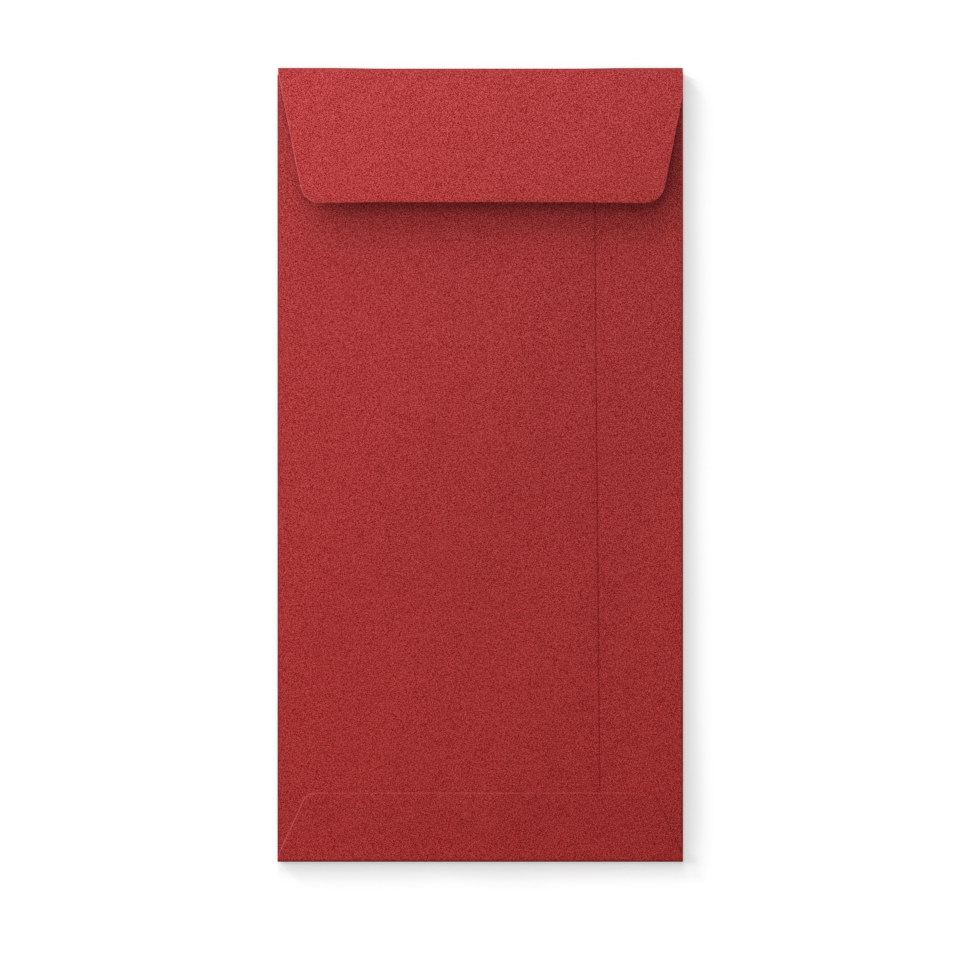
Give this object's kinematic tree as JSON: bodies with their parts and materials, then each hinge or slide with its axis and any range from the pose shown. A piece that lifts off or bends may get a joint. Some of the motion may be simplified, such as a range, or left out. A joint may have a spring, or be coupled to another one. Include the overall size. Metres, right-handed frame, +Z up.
{
  "type": "pocket envelope",
  "caption": "Long red paper pocket envelope lying back side up, with an off-centre glued seam, a glued bottom flap and a lifted closure flap that folds at the short top edge.",
  "frame": {"origin": "under the middle of the envelope, on the surface that it lies on, at the front panel's outer face", "axes": "+Y along the envelope's length towards the closure flap and the mouth, +X across it to the right as seen from the back, +Z up through the sheets, out of the back"},
  "size_m": [0.12, 0.235, 0.0058],
  "materials": {
    "red_paper": "matte",
    "dried_glue": "satin",
    "gum": "satin"
  },
  "bodies": {
    "pocket": {"front_panel": "red_paper", "left_side_fold": "red_paper", "right_side_fold": "red_paper", "left_back_panel": "red_paper", "right_back_panel": "red_paper", "seam_glue": "dried_glue", "bottom_fold": "red_paper", "bottom_flap": "red_paper", "bottom_flap_glue": "dried_glue", "top_fold": "red_paper"},
    "flap": {"closure_flap": "red_paper", "closure_gum": "gum"}
  },
  "joints": [
    {"name": "flap_fold", "type": "hinge", "parent": "pocket", "child": "flap", "pos_m": [0, 0.11646, 0.00104], "axis": [-1, 0, 0], "range_deg": [-5.5, 171.5], "deforming": ["top_fold"]}
  ]
}
